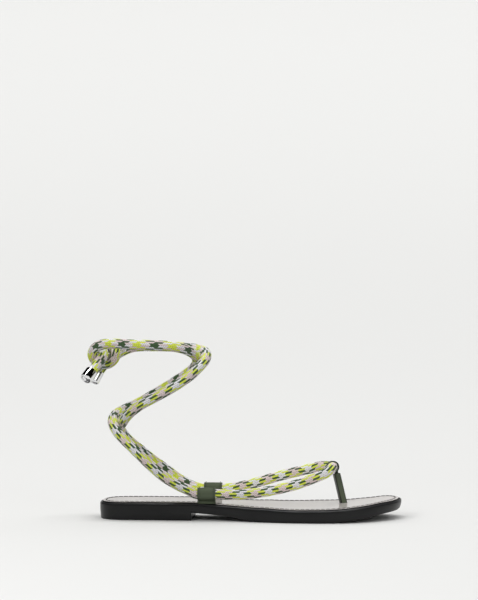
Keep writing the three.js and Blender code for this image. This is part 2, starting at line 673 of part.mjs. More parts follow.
// Metal tip: a cup over the rope's end, its closed end a rim round a shallow recess
function tipGeometry({ curve, length }) {
  const bore = ROPE_RADIUS + GAP;
  const outside = bore + TIP_WALL;
  const edge = TIP_WALL / 2;
  const floor = TIP_LENGTH - TIP_BORE_DEPTH;
  const profile = [
    [0, TIP_RECESS],
    [outside - TIP_RIM - edge, TIP_RECESS],
    [outside - TIP_RIM, 0],
    [outside - edge, 0],
    [outside, edge],
    [outside, TIP_LENGTH],
    [bore, TIP_LENGTH],
    [bore, floor],
    [0, floor],
  ].map(([radius, height]) => new THREE.Vector2(radius, height));
  const end = curve.getPointAt(1);
  const backwards = curve.getTangentAt(1 - TIP_BORE_DEPTH / 2 / length).negate();
  const turn = new THREE.Quaternion().setFromUnitVectors(new THREE.Vector3(0, 1, 0), backwards);
  const base = end.addScaledVector(backwards, -floor - GAP);
  return new THREE.LatheGeometry(profile, TIP_SEGMENTS)
    .applyQuaternion(turn)
    .translate(base.x, base.y, base.z);
}

// Materials
const material = (color, roughness, metalness = 0) => () =>
  new THREE.MeshStandardMaterial({ color, roughness, metalness });
const blackSole = material(0x17171a, 0.42);
const blackEdge = material(0x1b1b1d, 0.55);
const paleLeather = material(0xd9d3cf, 0.35);
const greenLeather = material(0x4b5541, 0.5);
const braid = material(0xb4bb93, 0.8);
const chrome = material(0xd8dadd, 0.12, 1);

// Sandal, its origin under the middle of the sole
const sandal = new THREE.Group();
function addPiece(name, geometry, finish) {
  const mesh = new THREE.Mesh(geometry, finish());
  mesh.name = name;
  sandal.add(mesh);
}
addPiece('outsole', outsoleGeometry(), blackSole);
addPiece('insole_board', insoleGeometry(BOARD_BOTTOM, BOARD_TOP), blackEdge);
addPiece('insole_cover', insoleGeometry(COVER_BOTTOM, COVER_TOP), paleLeather);
addPiece('toe_post', toePostGeometry(), greenLeather);
addPiece('toe_loop', toeLoopGeometry(), greenLeather);
addPiece('side_loop_outer', sideLoopGeometry(OUTER_LOOP), greenLeather);
addPiece('side_loop_inner', sideLoopGeometry(INNER_LOOP), greenLeather);
addPiece('rope_wrap', ropeWrapGeometry(), braid);
addPiece('rope_end_outer', ropeEndGeometry(OUTER_STRAND), braid);
addPiece('rope_end_inner', ropeEndGeometry(INNER_STRAND), braid);
addPiece('cord_tip_outer', tipGeometry(OUTER_STRAND), chrome);
addPiece('cord_tip_inner', tipGeometry(INNER_STRAND), chrome);

const sides = OUTLINE_POINTS.map((point) => point.y);
sandal.position.set(-SOLE_LENGTH / 2, -(Math.max(...sides) + Math.min(...sides)) / 2, 0);

export default sandal;
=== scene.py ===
"""Wrap sandal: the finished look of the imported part, laid out as a Blender add-on.

Metres, in the part's own frame: +X from heel to toe, +Y to the inner side of the
right foot, +Z up, with the origin on the floor under the middle of the sole.
"""

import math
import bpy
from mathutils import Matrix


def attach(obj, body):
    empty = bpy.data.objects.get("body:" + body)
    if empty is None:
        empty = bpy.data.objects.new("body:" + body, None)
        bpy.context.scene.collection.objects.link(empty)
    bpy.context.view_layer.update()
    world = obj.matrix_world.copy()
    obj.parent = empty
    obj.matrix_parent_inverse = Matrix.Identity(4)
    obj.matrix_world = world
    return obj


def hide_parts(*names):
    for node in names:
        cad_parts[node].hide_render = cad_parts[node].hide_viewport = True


bl_info = {
    "name": "Wrap Sandal",
    "version": (1, 0, 0),
    "blender": (4, 5, 0),
    "location": "View3D > Sidebar > Sandal",
    "description": "Builds a thong sandal with a braided rope wrapped round the ankle",
    "category": "Add Mesh",
}

import bmesh
import bpy
import numpy as np
from mathutils import Matrix, Vector

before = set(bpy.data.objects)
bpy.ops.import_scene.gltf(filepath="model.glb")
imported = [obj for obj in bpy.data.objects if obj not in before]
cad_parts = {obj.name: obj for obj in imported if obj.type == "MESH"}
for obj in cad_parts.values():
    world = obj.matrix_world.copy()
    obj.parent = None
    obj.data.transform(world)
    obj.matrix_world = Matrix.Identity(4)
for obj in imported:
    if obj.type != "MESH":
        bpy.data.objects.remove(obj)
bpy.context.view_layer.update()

MM = 0.001

# The sole's own measures, in millimetres from the heel
SOLE_LENGTH = 251.0
BALL_WIDTH = 89.0
HEEL_WIDTH = 51.0
SOLE_THICKNESS = 9.0
HEEL_LIFT = 6.4
HEEL_LENGTH = 78.0
BREAST_DRAFT = 0.3
TOE_SPRING = 7.0
FOOTBED_DISH = 0.5
HEEL_TO_ORIGIN = np.array((-125.5, -1.63, 0.0))

# Share of the sole's length, then the half width of the inner and of the outer side, where
# 0 is the heel's half width and 1 the ball's
OUTLINE = np.array((
    (0.00, 0.00, 0.00), (0.16, 0.00, 0.00), (0.35, -0.10, 0.10), (0.45, 0.03, 0.33),
    (0.55, 0.42, 0.60), (0.65, 0.84, 0.82), (0.72, 1.00, 0.86), (0.80, 1.03, 0.76),
    (0.88, 0.98, 0.55), (1.00, 0.80, 0.10),
))

# Profile: shares of the heel's length and of the rest, then of the heel lift, the toe
# spring, the thickness and the dish
PROFILE = np.array((
    (0.00, 0.000, 1.000, 0.00, 0.845, 0.0), (0.53, 0.000, 1.000, 0.00, 0.890, 1.0),
    (1.01, 0.000, 1.000, 0.00, 0.900, 0.9), (1.00, 0.080, 0.875, 0.00, 0.905, 0.8),
    (1.00, 0.165, 0.672, 0.00, 0.960, 0.7), (1.00, 0.240, 0.375, 0.00, 1.100, 0.5),
    (1.00, 0.307, 0.094, 0.00, 1.220, 0.4), (1.00, 0.352, 0.000, 0.00, 1.270, 0.4),
    (1.00, 0.420, 0.000, 0.00, 1.195, 0.4), (1.00, 0.520, 0.000, 0.00, 1.145, 0.4),
    (1.00, 0.625, 0.000, 0.00, 1.170, 0.4), (1.00, 0.727, 0.000, 0.143, 1.135, 0.4),
    (1.00, 0.790, 0.000, 0.33, 1.110, 0.4), (1.00, 0.841, 0.000, 0.47, 1.100, 0.3),
    (1.00, 0.881, 0.000, 0.60, 1.100, 0.2), (1.00, 0.915, 0.000, 0.77, 1.050, 0.1),
    (1.00, 1.000, 0.000, 1.00, 0.960, 0.0),
))

# The rope's two strands, from the toe loop through a side loop and round the ankle to
# its tip, in millimetres in the part's frame
OUTER_ROUTE = (
    (68.3, 10.5, 42.0), (68.6, 6.9, 42.1), (68.0, 2.9, 41.5), (66.4, -0.5, 40.3),
    (63.5, -2.4, 38.3), (58.5, -2.8, 36.0), (52.5, -2.4, 33.5), (39.5, -2.2, 28.6),
    (24.5, -5.8, 25.0), (9.5, -11.6, 22.6), (-5.5, -18.1, 21.5), (-17.5, -22.8, 21.7),
    (-26.5, -25.5, 22.3), (-34.5, -25.5, 22.3), (-42.5, -25.5, 22.3), (-49.0, -26.3, 25.3),
    (-59.5, -29.0, 30.5), (-70.0, -31.2, 37.2), (-80.4, -32.5, 46.2), (-90.0, -31.7, 55.3),
    (-100.3, -27.5, 64.6), (-108.3, -21.1, 71.6), (-113.1, -13.1, 77.3), (-114.9, -3.6, 81.3),
    (-114.3, 7.4, 84.3), (-111.1, 17.7, 86.5), (-105.1, 24.7, 89.1), (-96.4, 28.6, 92.9),
    (-85.3, 29.6, 99.1), (-73.7, 28.4, 106.1), (-62.1, 25.4, 113.6), (-53.0, 19.9, 120.2),
    (-46.9, 11.9, 126.3), (-44.7, 2.4, 131.6), (-45.1, -6.1, 135.5), (-47.5, -14.6, 139.5),
    (-53.5, -23.4, 143.5), (-62.9, -29.3, 146.0), (-74.5, -31.7, 147.1), (-87.0, -30.9, 147.4),
    (-98.5, -26.4, 147.2), (-108.0, -21.1, 147.2), (-117.0, -15.8, 146.8), (-125.0, -11.2, 145.0),
    (-130.1, -7.2, 141.2), (-131.9, -3.4, 136.0), (-129.9, 0.6, 131.0), (-124.9, 3.0, 128.1),
    (-118.9, 3.3, 128.5), (-114.6, 3.0, 132.0), (-113.2, 4.5, 136.0), (-112.8, 8.2, 139.2),
    (-114.4, 12.4, 140.4), (-118.3, 14.2, 140.4), (-122.3, 12.6, 140.2), (-124.0, 8.7, 139.3),
    (-123.8, 4.0, 137.9), (-123.1, -0.6, 136.6), (-123.3, -5.2, 135.2), (-124.3, -10.6, 132.8),
    (-126.3, -16.0, 130.2), (-128.5, -21.0, 127.4), (-131.7, -26.6, 123.2), (-133.5, -29.6, 120.6),
)
INNER_ROUTE = (
    (66.4, 18.9, 41.4), (60.8, 23.2, 41.7), (53.9, 24.7, 40.6), (42.0, 24.5, 37.7),
    (24.1, 23.6, 33.3), (4.2, 22.1, 27.6), (-12.6, 20.1, 23.6), (-24.5, 18.3, 22.3),
    (-32.5, 18.3, 22.3), (-40.5, 18.3, 22.3), (-45.8, 19.0, 23.2), (-53.5, 22.1, 25.4),
    (-62.9, 26.0, 30.4), (-73.7, 28.9, 37.8), (-84.5, 29.5, 45.4), (-95.0, 27.9, 54.0),
    (-104.7, 22.6, 63.0), (-108.9, 15.9, 69.4), (-109.8, 7.9, 73.6), (-108.4, -0.1, 77.4),
    (-105.8, -7.6, 80.9), (-102.7, -15.8, 85.2), (-97.7, -23.6, 90.4), (-90.0, -29.5, 96.5),
    (-78.5, -32.6, 103.0), (-66.6, -32.6, 109.5), (-55.4, -29.6, 116.3), (-47.5, -24.4, 122.0),
    (-41.2, -17.4, 128.0), (-37.6, -9.1, 132.3), (-36.8, -0.6, 135.5), (-38.2, 7.9, 137.7),
    (-43.0, 16.2, 139.0), (-50.5, 22.4, 139.8), (-61.5, 27.0, 140.5), (-73.5, 28.7, 140.8),
    (-84.5, 27.6, 141.0), (-97.5, 22.9, 141.0), (-104.0, 20.6, 139.5), (-110.4, 18.4, 136.5),
    (-116.1, 16.6, 132.9), (-120.6, 15.2, 129.4), (-124.3, 13.4, 125.8), (-127.9, 10.4, 120.9),
    (-130.8, 7.4, 115.7),
)
TOE_RING = (67.92, 14.69, 41.73)
OUTER_WRAP_LENGTH = 439.8
INNER_WRAP_LENGTH = 411.2

# Where the two side loops hold the rope, half the width of their slots in the insole, and
# how deep these slots are
SIDE_LOOPS = {"side_loop_outer": (-34.5, -25.51, 22.3), "side_loop_inner": (-32.5, 18.31, 22.3)}
SLOT_HALF = 7.8
SLOT_DEPTH = 3.1

# Heights over the sole in millimetres: the insole's board, and its leather cover
BOARD_LOW, BOARD_HIGH, BOARD_MIDDLE = 0.20, 0.54, 0.22
COVER_LOW, COVER_ROUND, COVER_HIGH = 0.56, 0.70, 0.95

# The toe post: where it stands, its directions, and its height in millimetres
POST_FOOT = Vector((77.0, 15.37, 11.51))
POST_AXIS = Vector((-0.23005, 0.0, 0.97318))
POST_THICK_AXIS = Vector((0.91449, 0.34202, 0.21618))
POST_WIDE_AXIS = Vector((-0.33285, 0.93969, -0.07868))
POST_RISE = 25.4

# Metres: the post's thickness, width and the length of it in the sole, the loop on it, and
# the space between a strap or a tip and the rope
POST_THICKNESS, POST_WIDTH, POST_SUNK = 0.0053, 0.0075, 0.0012
RING_THICKNESS, RING_WIDTH, RING_RISE, RING_TAB, RING_BACK = 0.0011, 0.0060, 0.0061, 0.005, 0.002
CLEARANCE = 0.0003
TIP_WALL, TIP_LIP, TIP_GRIP = 0.0005, 0.0011, 0.0066

# Floats round the rope, yarns of one colour side by side, and the colours in order
COLUMNS = 16
BAND = 4
YARNS = ("pink", "lime", "white", "green")

# Mesh faces across a float and along it, and the distance between a route's points
ACROSS_FLOAT = 5
ALONG_FLOAT = 4
ROUTE_STEP = 0.0003

# How the braid lies in the rope as it is worn: distance from the inner tip in
# millimetres, floats passed so far at the usual pitch, and turn in columns
LAY = np.array((
    (0.0, 13.5, 7.69), (157.5, 111.5, 7.69), (210.0, 143.5, 7.69), (282.0, 183.5, 7.50),
    (328.0, 215.5, 7.50), (387.4, 255.5, 3.93), (444.4, 295.5, 3.93), (492.2, 327.5, -2.51),
    (580.0, 383.5, -2.60), (620.0, 407.5, -3.20), (691.7, 455.5, -3.60), (858.0, 559.5, -5.38),
    (927.4, 599.5, -5.38), (1055.3, 678.8, -5.38),
))
LAY_PITCH = 0.0251


# Sizes and colours ---------------------------------------------------------------------

def length(name, description, default):
    """A size in metres that shows in the scene's own unit."""
    return bpy.props.FloatProperty(
        name=name, description=description, default=default, min=0.0, unit="LENGTH", precision=5
    )


def colour(name, description, default):
    """A linear colour."""
    return bpy.props.FloatVectorProperty(
        name=name, description=description, default=default, size=3, min=0.0, max=1.0,
        subtype="COLOR",
    )


class RopeSettings(bpy.types.PropertyGroup):
    """The braided rope."""

    diameter: length("Diameter", "Thickness of the rope over its braid", 0.0086)
    pitch: length("Pitch", "Length of rope in which a yarn goes once round", LAY_PITCH)
    relief: length("Relief", "Depth of the grooves between the yarns", 0.00030)
    phase: bpy.props.FloatProperty(
        name="Phase", description="Turn of the braid about the rope, in columns", default=0.0
    )
    lime: colour("Lime yarn", "Colour of the lime yarns", (0.82, 0.94, 0.090))
    green: colour("Green yarn", "Colour of the dark green yarns", (0.056, 0.115, 0.040))
    pink: colour("Pink yarn", "Colour of the pale pink yarns", (0.88, 0.74, 0.72))
    white: colour("White yarn", "Colour of the off-white yarns", (0.96, 0.945, 0.99))


class SoleSettings(bpy.types.PropertyGroup):
    """The sole and its heel."""

    black: colour("Sole", "Colour of the sole", (0.0042, 0.0043, 0.0046))
    # A lighter colour painted on the sole's shoulder as a highlight.
    painted_highlight: colour("Painted highlight", "Colour of the highlight painted on the upper edge", (0.020, 0.020, 0.021))
    shoulder: length("Shoulder", "Rounding of the sole's upper edge", 0.0017)
    crown: length("Crown", "How far the wall bulges", 0.0006)
    edge: length("Lower edge", "Rounding of the edge that meets the floor", 0.0008)


class InsoleSettings(bpy.types.PropertyGroup):
    """The insole, its black board and its stitch line."""

    leather: colour("Leather", "Colour of the insole's cover", (0.74, 0.69, 0.66))
    ink: colour("Edge ink", "Colour of the board and of the cover's edge", (0.012, 0.012, 0.013))
    thread: colour("Thread", "Colour of the stitches", (0.013, 0.013, 0.014))
    inset: length("Inset", "Width of the ledge round the insole", 0.0024)
    margin: length("Margin", "From the insole's edge to its stitch line", 0.0028)
    stitch: length("Stitch", "Length of a stitch", 0.0040)
    gap: length("Gap", "Space between two stitches", 0.0003)
    thickness: length("Thread thickness", "Thickness of the thread", 0.0009)


class StrapSettings(bpy.types.PropertyGroup):
    """The leather loops and the toe post."""

    leather: colour("Leather", "Colour of the loops and the post", (0.058, 0.069, 0.043))
    # This colour is also the painted shade on the toe post's broad sides.
    edge: colour("Cut edge and post shade", "Colour of the painted edges", (0.010, 0.013, 0.008))
    thread: colour("Thread", "Colour of the loops' stitches", (0.016, 0.022, 0.012))
    width: length("Loop width", "Width of a side loop along the rope", 0.015)
    thickness: length("Leather thickness", "Thickness of the loops' leather", 0.0014)


class TipSettings(bpy.types.PropertyGroup):
    """The metal tips of the rope."""

    metal: colour("Metal", "Colour of the tips", (0.80, 0.80, 0.81))
    depth: length("Length", "Length of a tip", 0.010)
    recess: length("Recess", "Depth of the end's recess", 0.0024)


class StageSettings(bpy.types.PropertyGroup):
    """Floor, light and camera."""

    floor: colour("Floor", "Colour of the floor and the wall behind", (0.745, 0.745, 0.732))
    distance: length("Camera distance", "From the camera to the shoe", 10.0)
    light: bpy.props.FloatProperty(
        name="Light", description="Strength of all the lamps", default=1.0, min=0.0
    )


class SandalSettings(bpy.types.PropertyGroup):
    """All the sizes and colours of the sandal."""

    rope: bpy.props.PointerProperty(type=RopeSettings, name="Rope")
    sole: bpy.props.PointerProperty(type=SoleSettings, name="Sole")
    insole: bpy.props.PointerProperty(type=InsoleSettings, name="Insole")
    strap: bpy.props.PointerProperty(type=StrapSettings, name="Straps")
    tip: bpy.props.PointerProperty(type=TipSettings, name="Tips")
    stage: bpy.props.PointerProperty(type=StageSettings, name="Stage")


# Meshes --------------------------------------------------------------------------------

def finished(name, bm, materials, sharp=35.0):
    """A mesh object at the origin, which rides on the sandal's one body."""
    mesh = bpy.data.meshes.new(name)
    bm.to_mesh(mesh)
    bm.free()
    for material in materials:
        mesh.materials.append(material)
    mesh.shade_smooth()
    mesh.set_sharp_from_angle(angle=math.radians(sharp))
    piece = bpy.data.objects.new(name, mesh)
    bpy.context.scene.collection.objects.link(piece)
    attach(piece, "root")
    return piece


def extruded(bm, edges):
    """Edges extruded in place: the new points and the new edges between them."""
    made = bmesh.ops.extrude_edge_only(bm, edges=edges)["geom"]
    verts = [part for part in made if isinstance(part, bmesh.types.BMVert)]
    fresh = set(verts)
    return verts, [
        part for part in made
        if isinstance(part, bmesh.types.BMEdge) and fresh.issuperset(part.verts)
    ]


def run_length(points):
    """Distance along a line of points, at each of them."""
    steps = np.linalg.norm(np.diff(points, axis=0), axis=1)
    return np.concatenate(((0.0,), np.cumsum(steps)))


def point_at(at, distance, values):
    """The values along a line at one distance, as a vector."""
    return Vector([np.interp(at, distance, values[:, k]) for k in range(3)])


def spline(points, step):
    """Points `step` apart or closer on the centripetal Catmull-Rom curve through `points`."""
    p = np.asarray(points, float)
    p = np.vstack((2 * p[0] - p[1], p, 2 * p[-1] - p[-2]))
    knots = np.sqrt(np.linalg.norm(np.diff(p, axis=0), axis=1))[:, None]
    p0, p1, p2, p3 = p[:-3], p[1:-2], p[2:-1], p[3:]
    d0, d1, d2 = knots[:-2], knots[1:-1], knots[2:]
    start = ((p1 - p0) / d0 - (p2 - p0) / (d0 + d1) + (p2 - p1) / d1) * d1
    end = ((p2 - p1) / d1 - (p3 - p1) / (d1 + d2) + (p3 - p2) / d2) * d1
    made = []
    for i in range(len(p1)):
        count = max(2, math.ceil(np.linalg.norm(p2[i] - p1[i]) * 1.1 / step))
        t = np.arange(count)[:, None] / count
        made.append(
            p1[i] + start[i] * t + (3 * (p2[i] - p1[i]) - 2 * start[i] - end[i]) * t**2
            + (2 * (p1[i] - p2[i]) + start[i] + end[i]) * t**3
        )
    return np.vstack((*made, p2[-1:]))


class Route:
    """A path with a direction across it that doesn't twist, read by distance."""

    def __init__(self, points):
        self.points = spline(points, ROUTE_STEP)
        steps = np.diff(self.points, axis=0)
        self.distance = run_length(self.points)
        self.length = self.distance[-1]
        tangent = np.gradient(self.points, self.distance, axis=0)
        self.tangent = tangent / np.linalg.norm(tangent, axis=1)[:, None]
        across = np.cross(self.tangent[0], (0.0, 0.0, 1.0))
        normals = [across / np.linalg.norm(across)]
        for step_to, old, new in zip(steps, self.tangent[:-1], self.tangent[1:]):
            mirror = step_to / np.linalg.norm(step_to)
            normal = normals[-1] - 2 * mirror * (mirror @ normals[-1])
            turned = old - 2 * mirror * (mirror @ old)
            second = new - turned
            size = second @ second
            if size > 1e-18:
                normal = normal - 2 * second * (second @ normal) / size
            normals.append(normal / np.linalg.norm(normal))
        self.normal = np.array(normals)

    def read(self, values, distance):
        """The values along the path at these distances."""
        return np.stack([np.interp(distance, self.distance, v) for v in values.T], axis=-1)

    def at(self, distance):
        """Place, direction, and the two directions across, at these distances."""
        place = self.read(self.points, distance)
        tangent = self.read(self.tangent, distance)
        tangent /= np.linalg.norm(tangent, axis=-1)[..., None]
        normal = self.read(self.normal, distance)
        normal -= tangent * (tangent * normal).sum(-1)[..., None]
        normal /= np.linalg.norm(normal, axis=-1)[..., None]
        return place, tangent, normal, np.cross(tangent, normal)


def table_curve(x, y):
    """Monotone cubic through a table: flat stretches stay exactly flat."""
    rise = np.diff(y) / np.diff(x)
    before, after = np.append(rise[0], rise), np.append(rise, rise[-1])
    same = before * after > 0
    total = np.where(same, before + after, 1.0)
    slope = np.where(same, 2 * before * after / total, 0.0)

    def read(value):
        value = np.asarray(value, float)
        i = np.clip(np.searchsorted(x, value, side="left") - 1, 0, len(x) - 2)
        width = x[i + 1] - x[i]
        t = np.clip((value - x[i]) / width, 0, 1)
        bend = t * (1 - t) * ((1 - t) * slope[i] - t * slope[i + 1]) * width
        return y[i] + t * t * (3 - 2 * t) * (y[i + 1] - y[i]) + bend

    return read


outline_at = OUTLINE[:, 0] * SOLE_LENGTH
inner_share = table_curve(outline_at, OUTLINE[:, 1])
outer_share = table_curve(outline_at, OUTLINE[:, 2])
profile_at = PROFILE[:, 0] * HEEL_LENGTH + PROFILE[:, 1] * (SOLE_LENGTH - HEEL_LENGTH)
lift_share, spring_share, thick_share, dish_share = (
    table_curve(profile_at, PROFILE[:, column]) for column in (2, 3, 4, 5)
)


def underside(x):
    """Height of the sole's underside above the floor, without the heel block."""
    return lift_share(x) * HEEL_LIFT + spring_share(x) * TOE_SPRING


def top_edge(x):
    """Height of the sole's upper edge."""
    return underside(x) + thick_share(x) * SOLE_THICKNESS


def outline(x, side):
    """Distance of the sole's edge from the heel's centre line."""
    share = inner_share(x) if side > 0 else outer_share(x)
    half = (HEEL_WIDTH + (BALL_WIDTH - HEEL_WIDTH) * share) / 2

    def end_round(distance, reach, power):
        left = 1 - np.clip(distance / reach, 0, 1)
        return (1 - left**power) ** (1 / power)

    heel = end_round(x, 26.0, 2.6)
    reach, power = (20.0, 2.6) if side > 0 else (48.0, 2.2)
    toe = end_round(SOLE_LENGTH - x, reach, power)
    return 16.0 + (side * half * heel - 16.0) * toe


class Ring:
    """The sole's outline as points: up the inner side to the toe, back down the outer."""

    def __init__(self, extra=(), count=110):
        spaced = SOLE_LENGTH * (1 - np.cos(np.pi * np.arange(count + 1) / count)) / 2
        extra = np.array(extra, float)
        if len(extra):
            near = np.abs(spaced[:, None] - extra[None, :]).min(1) < 0.5
            near[[0, -1]] = False
            spaced = spaced[~near]
        self.stations = np.sort(np.concatenate((spaced, extra)))
        inner, outer = self.stations[:-1], self.stations[1:][::-1]
        self.x = np.concatenate((inner, outer))
        self.side = np.concatenate((np.ones(len(inner)), -np.ones(len(outer))))
        self.y = np.concatenate((outline(inner, 1), outline(outer, -1)))
        along = np.roll(self.x, -1) - np.roll(self.x, 1)
        up = np.roll(self.y, -1) - np.roll(self.y, 1)
        size = np.hypot(along, up)
        self.out = np.stack((-up / size, along / size), axis=1)

    def moved(self, inset, height, share=1.0):
        """The ring moved inwards, its width then cut to a share, at a height."""
        x = self.x - self.out[:, 0] * inset
        y = self.y - self.out[:, 1] * inset
        if share < 1.0:
            on_sole = x.clip(0, SOLE_LENGTH)
            middle = (outline(on_sole, 1) + outline(on_sole, -1)) / 2
            y = middle + (y - middle) * share
        z = height(x) if callable(height) else height
        return np.stack((x, y, z + 0 * x), axis=1)


def lofted(rings):
    """A closed skin through rings of points, each ring extruded from the one before."""
    bm = bmesh.new()
    place = bm.verts.layers.int.new("place")
    made = bmesh.ops.create_circle(bm, cap_ends=False, segments=len(rings[0]), radius=1.0)
    for i, vert in enumerate(made["verts"]):
        vert[place] = i
    edges = bm.edges[:]
    verts = made["verts"]
    for level, ring in enumerate(rings):
        if level:
            verts, edges = extruded(bm, edges)
        for vert in verts:
            vert.co = Vector((ring[vert[place]] + HEEL_TO_ORIGIN) * MM)
    bmesh.ops.remove_doubles(bm, verts=bm.verts[:], dist=2e-7)
    bmesh.ops.dissolve_degenerate(bm, dist=1e-7, edges=bm.edges[:])
    bmesh.ops.recalc_face_normals(bm, faces=bm.faces[:])
    return bm


# Materials -----------------------------------------------------------------------------

class Nodes:
    """A material and short ways to add nodes to it."""

    def __init__(self, name, **sockets):
        self.material = bpy.data.materials.new(name)
        self.material.use_nodes = True
        self.tree = self.material.node_tree
        self.shader = self.tree.nodes["Principled BSDF"]
        for key, value in sockets.items():
            socket = self.shader.inputs[key.replace("_", " ").title().replace("Ior", "IOR")]
            socket.default_value = (*value, 1.0) if isinstance(value, tuple) else value

    def add(self, kind, settings=None, **inputs):
        """A node with these settings, its inputs given as values or as sockets."""
        node = self.tree.nodes.new("ShaderNode" + kind)
        for key, value in (settings or {}).items():
            setattr(node, key, value)
        for key, value in inputs.items():
            socket = node.inputs[int(key[1:])] if key[0] == "i" and key[1:].isdigit() \
                else node.inputs[key.replace("_", " ")]
            if isinstance(value, bpy.types.NodeSocket):
                self.tree.links.new(value, socket)
            else:
                socket.default_value = value
        return node

    def maths(self, operation, *values):
        """The result of a Math node."""
        inputs = {f"i{i}": value for i, value in enumerate(values)}
        return self.add("Math", {"operation": operation}, **inputs).outputs[0]

    def place(self):
        """Object coordinates."""
        return self.add("TexCoord").outputs["Object"]

    def noise(self, scale, detail):
        """Noise from 0 to 1."""
        node = self.add("TexNoise", Vector=self.place(), Scale=scale, Detail=detail)
        return node.outputs["Fac"]

    def span(self, value, low, high, to_low, to_high):
        """A value moved from one range to another."""
        node = self.add("MapRange", Value=value, From_Min=low, From_Max=high, To_Min=to_low,
                        To_Max=to_high)
        return node.outputs["Result"]

    def mix(self, factor, first, second):
        """Two colours mixed."""
        node = self.add("Mix", {"data_type": "RGBA"})
        for socket, value in zip((node.inputs[0], node.inputs[6], node.inputs[7]),
                                 (factor, first, second)):
            if isinstance(value, bpy.types.NodeSocket):
                self.tree.links.new(value, socket)
            elif isinstance(value, (tuple, list)):
                socket.default_value = (*value[:3], 1.0)
            else:
                socket.default_value = value
        return node.outputs[2]

    def set(self, name, value):
        """A socket of the shader, linked."""
        self.tree.links.new(value, self.shader.inputs[name])

    def bump(self, height, distance, strength=1.0):
        """Relief on the shader, its distance in metres."""
        before = self.shader.inputs["Normal"].links
        inputs = {"Height": height, "Distance": distance, "Strength": strength}
        if before:
            inputs["Normal"] = before[0].from_socket
        self.set("Normal", self.add("Bump", **inputs).outputs["Normal"])


def dark(colour_value, share):
    """A colour made darker, or lighter where the share is above 1."""
    return tuple(min(1.0, part * share) for part in colour_value)


def yarn_material(name, shade):
    """Shiny filament yarn: plies run along it, with painted shade in the grooves between the plies
    and towards a float's edges and ends, where it dives under.
    """
    shade = tuple(shade)
    made = Nodes(name, base_color=shade, roughness=0.55, sheen_weight=0.25, sheen_roughness=0.4)
    braid = made.add("UVMap", {"uv_map": "Braid"}).outputs["UV"]
    parts = made.add("SeparateXYZ", Vector=braid)
    across, along = parts.outputs["Y"], parts.outputs["X"]
    side = made.maths("PINGPONG", across, 0.5)
    end = made.maths("PINGPONG", along, 0.5)
    # Painted shade: darker towards a float's edges and ends, where the yarn dives under its
    # neighbours.
    shadow = made.maths("MULTIPLY", made.span(side, 0.0, 0.16, 0.0, 1.0),
                        made.span(end, 0.0, 0.12, 0.25, 1.0))
    plies = made.maths("PINGPONG", made.maths("MULTIPLY", across, 4.0), 0.5)
    shade_here = made.mix(made.noise(900.0, 2.0), dark(shade, 0.86), dark(shade, 1.08))
    # Painted shade in the grooves between the plies.
    shade_here = made.mix(made.span(plies, 0.0, 0.3, 0.35, 0.0), shade_here, dark(shade, 0.55))
    made.set("Base Color", made.mix(shadow, dark(shade, 0.30), shade_here))
    made.bump(plies, 0.00012, 0.8)
    made.bump(made.noise(4200.0, 2.0), 0.00006, 0.5)
    return made.material


def leather_material(name, shade, roughness, grain, coat):
    """Smooth leather: fine pebbles and pores, faint mottling, slightly uneven gloss."""
    shade = tuple(shade)
    made = Nodes(name, base_color=shade, roughness=roughness, coat_weight=coat,
                 coat_roughness=0.09)
    pebbles = made.add("TexVoronoi", {"feature": "SMOOTH_F1"}, Vector=made.place(),
                       Scale=1.0 / grain, Smoothness=0.6).outputs["Distance"]
    pores = made.noise(3.2 / grain, 2.0)
    mottle = made.noise(55.0, 4.0)
    tone = made.mix(mottle, dark(shade, 0.92), dark(shade, 1.06))
    made.set("Base Color", made.mix(made.span(pores, 0.58, 0.75, 0.0, 0.5), tone,
                                    dark(shade, 0.72)))
    made.set("Roughness", made.span(mottle, 0.3, 0.7, roughness * 0.88, roughness * 1.14))
    made.bump(pebbles, grain * 0.12, 0.6)
    made.bump(pores, grain * 0.06, 0.5)
    return made.material


def sole_material(name, shade, gloss):
    """Moulded black sole: satin, with a fine skin and faint polishing marks."""
    shade = tuple(shade)
    made = Nodes(name, base_color=shade, roughness=0.36, specular_ior_level=gloss)
    skin = made.noise(1500.0, 3.0)
    waves = made.noise(26.0, 2.0)
    made.set("Base Color", made.mix(waves, dark(shade, 0.85), dark(shade, 1.25)))
    made.set("Roughness", made.span(waves, 0.3, 0.7, 0.30, 0.42))
    made.bump(skin, 0.00004, 0.5)
    made.bump(waves, 0.0005, 0.35)
    return made.material


def thread_material(name, shade):
    """Waxed twisted thread."""
    shade = tuple(shade)
    made = Nodes(name, base_color=shade, roughness=0.5)
    wave = made.add("TexWave", {"bands_direction": "DIAGONAL"}, Vector=made.place(),
                    Scale=900.0, Distortion=1.5).outputs["Fac"]
    made.set("Base Color", made.mix(wave, dark(shade, 0.6), dark(shade, 1.7)))
    made.bump(wave, 0.00008, 0.6)
    return made.material


def metal_material(name, shade):
    """Polished plated metal with faint hairlines."""
    made = Nodes(name, base_color=tuple(shade), metallic=1.0, roughness=0.07)
    made.set("Roughness", made.span(made.noise(600.0, 4.0), 0.3, 0.7, 0.05, 0.11))
    made.bump(made.noise(2600.0, 2.0), 0.000008, 0.3)
    return made.material


def ink_material(name, shade):
    """Painted cut edge, also used as painted shade on the toe post's sides."""
    made = Nodes(name, base_color=tuple(shade), roughness=0.42)
    noise = made.noise(700.0, 3.0)
    made.set("Base Color", made.mix(noise, dark(tuple(shade), 0.8), dark(tuple(shade), 1.4)))
    made.bump(noise, 0.00008, 0.5)
    return made.material


def floor_material(name, shade):
    """Matt paper."""
    made = Nodes(name, base_color=tuple(shade), roughness=0.9)
    made.bump(made.noise(30.0, 3.0), 0.0001, 0.2)
    return made.material


# Rope ----------------------------------------------------------------------------------

def rope_route():
    """The whole rope, from the inner strand's tip to the outer strand's."""
    return Route(np.array((*INNER_ROUTE[::-1], TOE_RING, *OUTER_ROUTE)) * MM)


def rope_materials(rope):
    """One material for each colour of yarn."""
    known = bpy.data.materials
    return [
        known.get("yarn_" + name) or yarn_material("yarn_" + name, getattr(rope, name))
        for name in YARNS
    ]


